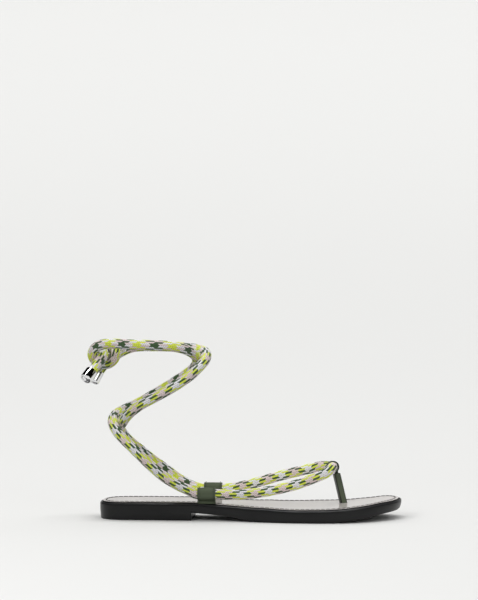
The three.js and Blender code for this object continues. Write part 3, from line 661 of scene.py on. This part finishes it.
def braid(name, route, rope, first, last):
    """The rope from one float to another. A float is the stretch of a yarn that lies on
    top: floats stand in columns round the rope, those of even columns leaning one way and
    those of odd columns the other. So each ring of the mesh runs in a zigzag round the
    rope, and the edges of the floats fall on rings."""
    columns, rows = COLUMNS * ACROSS_FLOAT, (last - first) * ALONG_FLOAT
    bm = bmesh.new()
    layer = bm.loops.layers.uv.new("Braid")
    bmesh.ops.create_grid(
        bm, x_segments=columns, y_segments=rows, size=0.5, calc_uvs=True
    )
    bm.verts.ensure_lookup_table()
    flat = np.array([vert.co[:2] for vert in bm.verts]) + 0.5
    column = np.rint(flat[:, 0] * columns) / ACROSS_FLOAT
    row = np.rint(flat[:, 1] * rows) / ALONG_FLOAT
    fall = np.abs((column % 2) - np.where(column % 2 > 1, 2, 0))
    floats = LAY[:, 1] * LAY_PITCH / rope.pitch
    distance = np.interp(first + row + fall - 0.5, floats, LAY[:, 0]) * MM
    distance = np.clip(distance, 0.0, route.length)
    side = 1 - np.abs(2 * (row % 1) - 1) ** 2.6
    dive = np.abs(2 * (column % 1) - 1) ** 3
    groove = rope.relief * (1 - side * (1 - 0.75 * dive))
    place, _, normal, binormal = route.at(distance)
    turn = np.interp(distance, LAY[:, 0] * MM, LAY[:, 2])
    angle = 2 * np.pi * (column + turn + rope.phase) / COLUMNS
    radius = rope.diameter / 2 - groove
    spread = normal * np.cos(angle)[:, None] + binormal * np.sin(angle)[:, None]
    for vert, co in zip(bm.verts, place + spread * radius[:, None]):
        vert.co = co
    for face in bm.faces:
        corners = [loop[layer].uv.copy() for loop in face.loops]
        middle = sum(corners, Vector((0.0, 0.0))) / len(corners)
        at_column = int(middle.x * COLUMNS)
        at_row = first + math.floor(middle.y * (last - first))
        carrier = at_column - at_row - 1 if at_column % 2 == 0 else at_column + at_row + 1
        face.material_index = (carrier // BAND) % len(YARNS)
        for loop, uv in zip(face.loops, corners):
            loop[layer].uv = (uv.x * COLUMNS, uv.y * (last - first))
    bmesh.ops.remove_doubles(bm, verts=bm.verts[:], dist=1e-6)
    rims = [edge for edge in bm.edges if edge.is_boundary]
    bmesh.ops.holes_fill(bm, edges=rims, sides=0)
    caps = [face for face in bm.faces if len(face.verts) > 4]
    bmesh.ops.poke(bm, faces=caps)
    bmesh.ops.recalc_face_normals(bm, faces=bm.faces[:])
    piece = finished(name, bm, rope_materials(rope), sharp=80.0)
    return piece


class SANDAL_OT_rope(bpy.types.Operator):
    """Braid the rope: its two strands round the ankle and its two free ends"""

    bl_idname = "sandal.rope"
    bl_label = "Rope"

    def execute(self, context):
        rope = context.scene.sandal.rope
        route = rope_route()
        ring_at = Route(np.array((*INNER_ROUTE[::-1], TOE_RING)) * MM).length
        places = (0.0, ring_at - INNER_WRAP_LENGTH * MM, ring_at,
                  ring_at + OUTER_WRAP_LENGTH * MM, route.length)
        floats = np.interp(places, LAY[:, 0] * MM, LAY[:, 1]) * LAY_PITCH / rope.pitch
        cuts = [round(passed) for passed in floats]
        cuts[0] -= 1
        cuts[-1] += 1
        names = ("rope_end_in", "rope_wrap_in", "rope_wrap_out", "rope_end_out")
        made = {
            name: braid(name, route, rope, start, stop)
            for name, start, stop in zip(names, cuts[:-1], cuts[1:])
        }
        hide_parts("rope_wrap")
        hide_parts("rope_wrap")
        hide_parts("rope_end_inner")
        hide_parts("rope_end_outer")
        tips = {"rope_end_in": (places[1], 0.0), "rope_end_out": (places[3], route.length)}
        for name, (start, stop) in tips.items():
            path = route.at(np.linspace(start, stop, 61))[0]
        return {"FINISHED"}


# Metal tips ----------------------------------------------------------------------------

class SANDAL_OT_tips(bpy.types.Operator):
    """Turn the two metal tips of the rope"""

    bl_idname = "sandal.tips"
    bl_label = "Tips"

    def execute(self, context):
        settings = context.scene.sandal
        tip, rope = settings.tip, settings.rope
        route = rope_route()
        material = metal_material("tip_metal", tip.metal)
        bore = rope.diameter / 2 + CLEARANCE
        outside = bore + TIP_WALL
        floor = tip.depth - TIP_GRIP
        rim = outside - TIP_LIP
        lip = TIP_LIP / 2
        profile = (
            (0.0, tip.recess - 0.0006), (rim * 0.5, tip.recess - 0.0004),
            (rim - 0.0005, tip.recess), (rim, tip.recess - 0.0005),
            *((rim + lip * (1 - math.cos(turn)), lip * (1 - math.sin(turn)))
              for turn in np.radians(np.linspace(0, 180, 13))),
            (outside, tip.depth - 0.0002),
            (outside - 0.0002, tip.depth), (bore, tip.depth), (bore, floor), (0.0, floor),
        )
        for name, node, end in (("tip_in", "cord_tip_inner", 0.0),
                                ("tip_out", "cord_tip_outer", route.length)):
            inwards = -1 if end else 1
            place, tangent = route.at(np.array([end, end + inwards * 0.0033]))[:2]
            axis = Vector(tangent[1] * inwards).normalized()
            bm = bmesh.new()
            verts = [bm.verts.new((radius, 0.0, height)) for radius, height in profile]
            edges = [bm.edges.new(pair) for pair in zip(verts, verts[1:])]
            bmesh.ops.spin(
                bm, geom=verts + edges, cent=(0, 0, 0), axis=(0, 0, 1), angle=2 * math.pi,
                steps=72, use_merge=True, use_duplicate=False,
            )
            bmesh.ops.remove_doubles(bm, verts=bm.verts[:], dist=1e-6)
            bmesh.ops.recalc_face_normals(bm, faces=bm.faces[:])
            turn = axis.to_track_quat("Z", "Y").to_matrix().to_4x4()
            base = Vector(place[0]) - axis * (floor + CLEARANCE)
            bmesh.ops.transform(bm, matrix=Matrix.Translation(base) @ turn, verts=bm.verts[:])
            piece = finished(name, bm, [material], sharp=40.0)
            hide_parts(node)
        return {"FINISHED"}


# Sole ----------------------------------------------------------------------------------

class SANDAL_OT_sole(bpy.types.Operator):
    """Loft the sole, with its heel, arch and toe spring"""

    bl_idname = "sandal.sole"
    bl_label = "Sole"

    def execute(self, context):
        sole = context.scene.sandal.sole
        shoulder, crown = sole.shoulder / MM, sole.crown / MM
        breast = (HEEL_LENGTH, HEEL_LENGTH + BREAST_DRAFT)
        ring = Ring((HEEL_LENGTH - 0.8, *breast, HEEL_LENGTH + 1.1))
        toe = np.clip((ring.x / SOLE_LENGTH - 0.88) / 0.12, 0, 1)
        edge = sole.edge / MM + (3.0 - sole.edge / MM) * toe * toe * (3 - 2 * toe)
        low = np.where(ring.x > HEEL_LENGTH + 1e-6, underside(ring.x), 0.0)
        top = top_edge(ring.x)
        rings = [ring.moved(edge + crown, low, share) for share in (0.0, 0.5)]
        for part in (0, 30, 60, 90):
            turn = math.radians(part)
            rings.append(ring.moved(edge * (1 - math.sin(turn)) + crown,
                                    low + edge * (1 - math.cos(turn))))
        height = top - shoulder - low - edge
        for up, out in ((0.3, 0.55), (0.55, 0.12), (0.8, 0.0), (0.96, 0.0)):
            rings.append(ring.moved(crown * out, low + edge + height * up))
        for part in (0, 18, 36, 54, 72, 90):
            turn = math.radians(part)
            rings.append(ring.moved(shoulder * (1 - math.cos(turn)),
                                    top - shoulder * (1 - math.sin(turn))))
        rings.extend(ring.moved(shoulder, top, share) for share in (0.5, 0.0))
        materials = [sole_material("black_sole", sole.black, 0.33),
                     sole_material("sole_edge", sole.painted_highlight, 0.9)]
        bm = lofted(rings)
        # Painted highlight: the shoulder's faces that lean upwards get the lighter, glossier
        # material.
        for face in bm.faces:
            if 0.35 < face.normal.z < 0.93:
                face.material_index = 1
        piece = finished("sole", bm, materials, sharp=42.0)
        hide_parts("outsole")
        return {"FINISHED"}


# Insole --------------------------------------------------------------------------------

def footbed(lifted, share):
    """Height of the footbed at a share of its half width, lifted by what lies on it."""
    return lambda x: top_edge(x) - FOOTBED_DISH * dish_share(x) * (1 - share * share) + lifted


def notch(x, side):
    """How far the insole's edge steps back for a side loop's tab."""
    deep = 0 * x
    for place in SIDE_LOOPS.values():
        if np.sign(place[1]) == side[0]:
            reach = np.abs(x - place[0] - SOLE_LENGTH / 2)
            deep = np.where(reach < SLOT_HALF + 0.01, SLOT_DEPTH, deep)
    return deep


def stitch_piece(bm, middle, turn, half_length, half_thickness):
    """One stitch: a round thread with blunt ends."""
    made = bmesh.ops.create_uvsphere(
        bm, u_segments=8, v_segments=6, radius=1.0,
        matrix=Matrix.Rotation(math.pi / 2, 4, "Y"),
    )["verts"]
    for vert in made:
        vert.co.x = math.copysign(abs(vert.co.x) ** 0.45, vert.co.x)
    size = Matrix.Diagonal((half_length, half_thickness, half_thickness, 1))
    bmesh.ops.transform(bm, matrix=Matrix.Translation(middle) @ turn @ size, verts=made)


class SANDAL_OT_insole(bpy.types.Operator):
    """Lay the insole's board and leather cover, and stitch the cover"""

    bl_idname = "sandal.insole"
    bl_label = "Insole"

    def execute(self, context):
        insole = context.scene.sandal.insole
        corners = [
            place[0] + SOLE_LENGTH / 2 + side * (SLOT_HALF + step)
            for place in SIDE_LOOPS.values() for side in (-1, 1) for step in (-0.03, 0.03)
        ]
        ring = Ring(corners)
        inset = insole.inset / MM
        half = len(ring.x) // 2
        step = np.concatenate((notch(ring.x[:half], ring.side[:half]),
                               notch(ring.x[half:], ring.side[half:])))
        ink = ink_material("insole_ink", insole.ink)
        leather = leather_material("insole_leather", insole.leather, 0.40, 0.0009, coat=0.9)

        board = [ring.moved(inset + step, footbed(BOARD_LOW, 1.0), 0.0)]
        board += [
            ring.moved(inset + step + more, footbed(up, 1.0))
            for up, more in ((BOARD_LOW, 0.08), (BOARD_LOW + 0.06, 0.0), (BOARD_HIGH - 0.06, 0.0),
                             (BOARD_HIGH, 0.08))
        ]
        board.append(ring.moved(inset + step, footbed(BOARD_MIDDLE, 0.0), 0.0))
        piece = finished("insole_rim", lofted(board), [ink], sharp=50.0)
        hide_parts("insole_board")

        cover = [ring.moved(inset + 4.0, footbed(BOARD_HIGH, 0.8), 0.0)]
        cover.append(ring.moved(inset + step + 0.1, footbed(COVER_LOW, 1.0)))
        for part in (0, 30, 60, 90):
            turn = math.radians(part)
            up = COVER_ROUND + (COVER_HIGH - COVER_ROUND) * math.sin(turn)
            cover.append(ring.moved(inset + step + 0.3 * (1 - math.cos(turn)), footbed(up, 1.0)))
        for share in (0.9, 0.75, 0.6, 0.4, 0.2, 0.0):
            cover.append(ring.moved(inset + 4.4, footbed(COVER_HIGH, share), share))
        bm = lofted(cover)
        for face in bm.faces:
            if face.normal.z < 0.6:
                face.material_index = 1
        piece = finished("insole_leather", bm, [leather, ink], sharp=50.0)
        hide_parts("insole_cover")
        self.stitch(insole, ring)
        return {"FINISHED"}

    def stitch(self, insole, ring):
        """Thread along the insole's edge, dipping round the side loops."""
        inset = (insole.inset + insole.margin) / MM
        away = 0 * ring.x
        for place in SIDE_LOOPS.values():
            reach = np.abs(ring.x - place[0] - SOLE_LENGTH / 2)
            same = ring.side == np.sign(place[1])
            away = np.where(same, np.maximum(away, 2.2 * np.clip((11.5 - reach) / 2, 0, 1)), away)
        line = ring.moved(inset + away, footbed(COVER_HIGH, 0.95))
        line = (np.vstack((line, line[:1])) + HEEL_TO_ORIGIN) * MM
        distance = run_length(line)
        count = round(distance[-1] / (insole.stitch + insole.gap))
        bm = bmesh.new()
        for i in range(count):
            start = distance[-1] * i / count
            ends = [point_at(at, distance, line) for at in (start, start + insole.stitch)]
            way = ends[1] - ends[0]
            turn = way.to_track_quat("X", "Z").to_matrix().to_4x4()
            stitch_piece(bm, (ends[0] + ends[1]) / 2, turn, way.length / 2, insole.thickness / 2)
        piece = finished("insole_stitches", bm, [thread_material("insole_thread", insole.thread)])


# Leather loops and toe post ------------------------------------------------------------

def bevelled(bm, edges, offset, segments):
    """Round these edges."""
    bmesh.ops.bevel(
        bm, geom=edges, offset=offset, offset_type="OFFSET", segments=segments, profile=0.5,
        affect="EDGES", material=-1, clamp_overlap=True,
    )


def folded_strip(name, centre_line, axis, width, thickness, materials):
    """A strip of leather that follows a centre line, its width along an axis."""
    bm = bmesh.new()
    verts = [bm.verts.new(Vector(point) - axis * (width / 2)) for point in centre_line]
    edges = [bm.edges.new(pair) for pair in zip(verts, verts[1:])]
    rows = 10
    for _ in range(rows):
        verts, edges = extruded(bm, edges)
        bmesh.ops.translate(bm, vec=axis * (width / rows), verts=verts)
    bmesh.ops.recalc_face_normals(bm, faces=bm.faces[:])
    bmesh.ops.solidify(bm, geom=bm.faces[:], thickness=thickness)
    bmesh.ops.recalc_face_normals(bm, faces=bm.faces[:])
    rim = [
        edge for edge in bm.edges
        if edge.is_manifold and edge.calc_face_angle(0.0) > math.radians(60)
    ]
    bevelled(bm, rim, 0.0003, 3)
    for face in bm.faces:
        if abs(face.normal.dot(axis)) > 0.35:
            face.material_index = 1
    return finished(name, bm, materials, sharp=50.0)


def loop_line(radius, layer, tab, side=0.0):
    """Centre line of a strip folded round the rope: up the tab, round, and down again.
    Given in the plane across the rope, as sideways and up from the rope's centre."""
    half = layer / 2 + 0.00003
    neck = radius * 1.12
    turn = [
        (math.cos(a) * radius, math.sin(a) * radius)
        for a in np.radians(np.linspace(-52, 232, 33))
    ]
    right = [(side + half, -tab), (side + half, -neck - 0.0016), (side + half + 0.0004, -neck)]
    left = [(side - half - 0.0004, -neck), (side - half, -neck - 0.0016), (side - half, -tab)]
    flat = np.array([(x, y, 0.0) for x, y in right + turn + left])
    return spline(flat, 0.0006)[:, :2]


def stitch_row(bm, points, normals, length_of, gap, thickness):
    """Stitches along a line of points, each lying on the surface whose normal is given."""
    distance = run_length(points)
    count = int((distance[-1] + gap) / (length_of + gap))
    for i in range(count):
        start = i * (length_of + gap) + (distance[-1] + gap - count * (length_of + gap)) / 2
        ends = [point_at(at, distance, points) for at in (start, start + length_of)]
        up = point_at(start + length_of / 2, distance, normals)
        way = ends[1] - ends[0]
        side = up.cross(way).normalized()
        up = way.cross(side).normalized()
        frame_of = Matrix((way.normalized(), side, up)).transposed().to_4x4()
        stitch_piece(bm, (ends[0] + ends[1]) / 2, frame_of, way.length / 2, thickness / 2)


def strap_materials(strap):
    """Leather, painted edge and thread of the loops and the post; the edge colour is also the
    post's painted shade.
    """
    known = bpy.data.materials
    return (
        known.get("strap_leather")
        or leather_material("strap_leather", strap.leather, 0.36, 0.0007, coat=0.4),
        known.get("strap_edge") or ink_material("strap_edge", strap.edge),
        known.get("strap_thread") or thread_material("strap_thread", strap.thread),
    )


class SANDAL_OT_side_loops(bpy.types.Operator):
    """Fold the two side loops round the rope and stitch their edges"""

    bl_idname = "sandal.side_loops"
    bl_label = "Side Loops"

    def execute(self, context):
        settings = context.scene.sandal
        strap, rope = settings.strap, settings.rope
        leather, edge, thread = strap_materials(strap)
        radius = rope.diameter / 2 + 0.0004 + strap.thickness / 2
        for node, place in SIDE_LOOPS.items():
            centre = Vector(place) * MM
            floor = top_edge(place[0] + SOLE_LENGTH / 2) * MM + 0.0004
            flat = loop_line(radius, strap.thickness, centre.z - floor)
            line = [centre + Vector((0, x, z)) for x, z in flat]
            name = node.replace("outer", "out").replace("inner", "in")
            piece = folded_strip(
                name, line, Vector((1, 0, 0)), strap.width, strap.thickness, [leather, edge]
            )
            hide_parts(node)
            bm = bmesh.new()
            away = np.gradient(flat, axis=0)
            away = np.stack((away[:, 1], -away[:, 0]), axis=1)
            away /= np.linalg.norm(away, axis=1)[:, None]
            outside = flat + away * (strap.thickness / 2 - 0.00004)
            for shift in (-1, 1):
                along = shift * (strap.width / 2 - 0.0015)
                points = np.array([(centre.x + along, centre.y + x, centre.z + z)
                                   for x, z in outside])
                normals = np.array([(0.0, x, z) for x, z in away])
                stitch_row(bm, points, normals, 0.0016, 0.0006, 0.0004)
            seams = finished(name + "_stitches", bm, [thread])
        return {"FINISHED"}


class SANDAL_OT_toe_post(bpy.types.Operator):
    """Shape the toe post and the loop that holds the rope to it"""

    bl_idname = "sandal.toe_post"
    bl_label = "Toe Post"

    def execute(self, context):
        settings = context.scene.sandal
        strap, rope = settings.strap, settings.rope
        leather, edge, _ = strap_materials(strap)
        head = (POST_FOOT + POST_AXIS * POST_RISE) * MM
        foot = POST_FOOT * MM
        frame_of = Matrix((POST_THICK_AXIS, POST_WIDE_AXIS, POST_AXIS)).transposed().to_4x4()

        bm = bmesh.new()
        bmesh.ops.create_cube(bm, size=1.0)
        low, high = -POST_SUNK, POST_RISE * MM
        size = (POST_THICKNESS, POST_WIDTH, high - low)
        bmesh.ops.scale(bm, vec=size, verts=bm.verts[:])
        bmesh.ops.translate(bm, vec=(0, 0, (high + low) / 2), verts=bm.verts[:])
        upright = [
            e for e in bm.edges if abs(e.verts[0].co.z - e.verts[1].co.z) > 0.01
        ]
        bevelled(bm, upright, 0.0014, 6)
        top = [e for e in bm.edges if min(v.co.z for v in e.verts) > high - 1e-6]
        bevelled(bm, top, 0.0005, 3)
        bmesh.ops.transform(bm, matrix=Matrix.Translation(foot) @ frame_of, verts=bm.verts[:])
        # Painted shade: the post's broad sides and the rounds beside them take the dark edge
        # colour, so its sides read as shaded.
        for face in bm.faces:
            if abs(face.normal.dot(POST_THICK_AXIS)) > 0.55:
                face.material_index = 1
        piece = finished("toe_strap", bm, [leather, edge], sharp=50.0)
        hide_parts("toe_post")

        radius = rope.diameter / 2 + CLEARANCE + RING_THICKNESS / 2
        centre = head - POST_THICK_AXIS * RING_BACK + POST_AXIS * RING_RISE
        flat = loop_line(radius, RING_THICKNESS, RING_RISE + RING_TAB, RING_BACK)
        line = [centre + POST_THICK_AXIS * x + POST_AXIS * y for x, y in flat]
        axis = -POST_WIDE_AXIS.normalized()
        piece = folded_strip("toe_ring", line, axis, RING_WIDTH, RING_THICKNESS, [leather, edge])
        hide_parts("toe_loop")
        return {"FINISHED"}


# Stage ---------------------------------------------------------------------------------

# Metres: the flat floor to the front, to the back and to either side, the radius with which
# it turns up into the wall behind, and the run that this turn and the wall take
FLOOR_FRONT = 6.0
FLOOR_REACH = 10.5
FLOOR_HALF = 7.0
FLOOR_TURN = 1.2
WALL_RUN = 4.5

# The photo's scale and height, the point at its middle, and the camera's angles to it
PIXELS_PER_MM = 1.198
PICTURE_HEIGHT = 600.0
SENSOR = 36.0
TARGET = Vector((-0.0093, -0.0016, 0.1829))
AZIMUTH = math.radians(4.5)
ELEVATION = math.radians(5.0)

# Each lamp: name, place, what it points at, width and depth in metres, power in watts, and
# whether it shows in reflections
LAMPS = (
    ("key", (-1.0, -1.7, 1.2), (0.0, 0.0, 0.08), 1.2, 1.2, 18.0, False),
    ("fill", (1.5, -2.2, 1.2), (0.0, 0.0, 0.05), 1.4, 1.4, 12.0, True),
    ("strip", (0.0, 0.1, 2.6), (0.0, 0.1, 0.0), 1.6, 0.25, 17.0, True),
    ("top", (0.0, 6.4, 3.6), (0.0, 6.4, 0.0), 11.0, 11.0, 410.0, False),
)


class SANDAL_OT_stage(bpy.types.Operator):
    """Set the floor, the lights and the camera"""

    bl_idname = "sandal.stage"
    bl_label = "Stage"

    def execute(self, context):
        scene = context.scene
        stage = scene.sandal.stage
        bm = bmesh.new()
        bmesh.ops.create_grid(bm, x_segments=2, y_segments=90, size=1.0)
        for vert in bm.verts:
            along = -FLOOR_FRONT + (vert.co.y + 1) / 2 * (FLOOR_REACH + FLOOR_FRONT + WALL_RUN)
            over = max(0.0, along - FLOOR_REACH)
            turn = min(over / FLOOR_TURN, math.pi / 2)
            rise = max(0.0, over - FLOOR_TURN * math.pi / 2)
            vert.co = (vert.co.x * FLOOR_HALF,
                       min(along, FLOOR_REACH) + FLOOR_TURN * math.sin(turn),
                       FLOOR_TURN * (1 - math.cos(turn)) + rise)
        mesh = bpy.data.meshes.new("floor")
        bm.to_mesh(mesh)
        bm.free()
        mesh.shade_smooth()
        mesh.materials.append(floor_material("paper", stage.floor))
        floor = bpy.data.objects.new("floor", mesh)
        floor.visible_diffuse = False
        scene.collection.objects.link(floor)

        world = bpy.data.worlds.new("room")
        world.use_nodes = True
        nodes, links = world.node_tree.nodes, world.node_tree.links
        place = nodes.new("ShaderNodeTexCoord")
        height = nodes.new("ShaderNodeSeparateXYZ")
        share = nodes.new("ShaderNodeMapRange")
        levels = {"From Min": -0.25, "From Max": 0.05, "To Min": 0.28, "To Max": 0.45}
        for name, value in levels.items():
            share.inputs[name].default_value = value
        links.new(place.outputs["Generated"], height.inputs[0])
        links.new(height.outputs["Z"], share.inputs["Value"])
        links.new(share.outputs["Result"], nodes["Background"].inputs["Strength"])
        nodes["Background"].inputs["Color"].default_value = (1.0, 1.0, 1.0, 1.0)
        world.cycles_visibility.glossy = False
        scene.world = world
        scene.view_settings.view_transform = "Standard"

        for name, place, towards, width, depth, power, shows in LAMPS:
            data = bpy.data.lights.new(name, "AREA")
            data.shape = "RECTANGLE"
            data.size = width
            data.size_y = depth
            data.energy = power * stage.light
            lamp = bpy.data.objects.new(name, data)
            lamp.location = place
            way = Vector(towards) - Vector(place)
            lamp.rotation_euler = way.to_track_quat("-Z", "Y").to_euler()
            lamp.visible_glossy = shows
            lamp.visible_camera = False
            scene.collection.objects.link(lamp)

        camera = bpy.data.cameras.new("camera")
        camera.sensor_fit = "VERTICAL"
        camera.sensor_height = SENSOR
        camera.lens = PIXELS_PER_MM * stage.distance / MM * SENSOR / PICTURE_HEIGHT
        camera.clip_end = 50.0
        level = math.cos(ELEVATION)
        back = Vector((math.sin(AZIMUTH) * level, -math.cos(AZIMUTH) * level,
                       math.sin(ELEVATION)))
        view = bpy.data.objects.new("camera", camera)
        view.location = TARGET + back * stage.distance
        view.rotation_euler = (-back).to_track_quat("-Z", "Y").to_euler()
        scene.collection.objects.link(view)
        scene.camera = view
        return {"FINISHED"}


class SANDAL_PT_panel(bpy.types.Panel):
    """The sandal's pieces, sizes and colours"""

    bl_idname = "SANDAL_PT_panel"
    bl_label = "Wrap Sandal"
    bl_space_type = "VIEW_3D"
    bl_region_type = "UI"
    bl_category = "Sandal"

    def draw(self, context):
        settings = context.scene.sandal
        groups = (
            (settings.stage, ("sandal.stage",)),
            (settings.rope, ("sandal.tips", "sandal.rope")),
            (settings.tip, ()),
            (settings.sole, ("sandal.sole",)),
            (settings.insole, ("sandal.insole",)),
            (settings.strap, ("sandal.side_loops", "sandal.toe_post")),
        )
        for group, operators in groups:
            box = self.layout.box()
            for operator in operators:
                box.operator(operator)
            for name in group.__annotations__:
                box.prop(group, name)


CLASSES = (
    RopeSettings, SoleSettings, InsoleSettings, StrapSettings, TipSettings, StageSettings,
    SandalSettings, SANDAL_OT_rope, SANDAL_OT_tips, SANDAL_OT_sole, SANDAL_OT_insole,
    SANDAL_OT_side_loops, SANDAL_OT_toe_post, SANDAL_OT_stage, SANDAL_PT_panel,
)


def register():
    for made in CLASSES:
        bpy.utils.register_class(made)
    bpy.types.Scene.sandal = bpy.props.PointerProperty(type=SandalSettings)


def unregister():
    del bpy.types.Scene.sandal
    for made in reversed(CLASSES):
        bpy.utils.unregister_class(made)


def main():
    register()
    bpy.ops.sandal.stage()
    bpy.ops.sandal.tips()
    bpy.ops.sandal.rope()
    bpy.ops.sandal.sole()
    bpy.ops.sandal.insole()
    bpy.ops.sandal.side_loops()
    bpy.ops.sandal.toe_post()


if __name__ == "__main__":
    main()
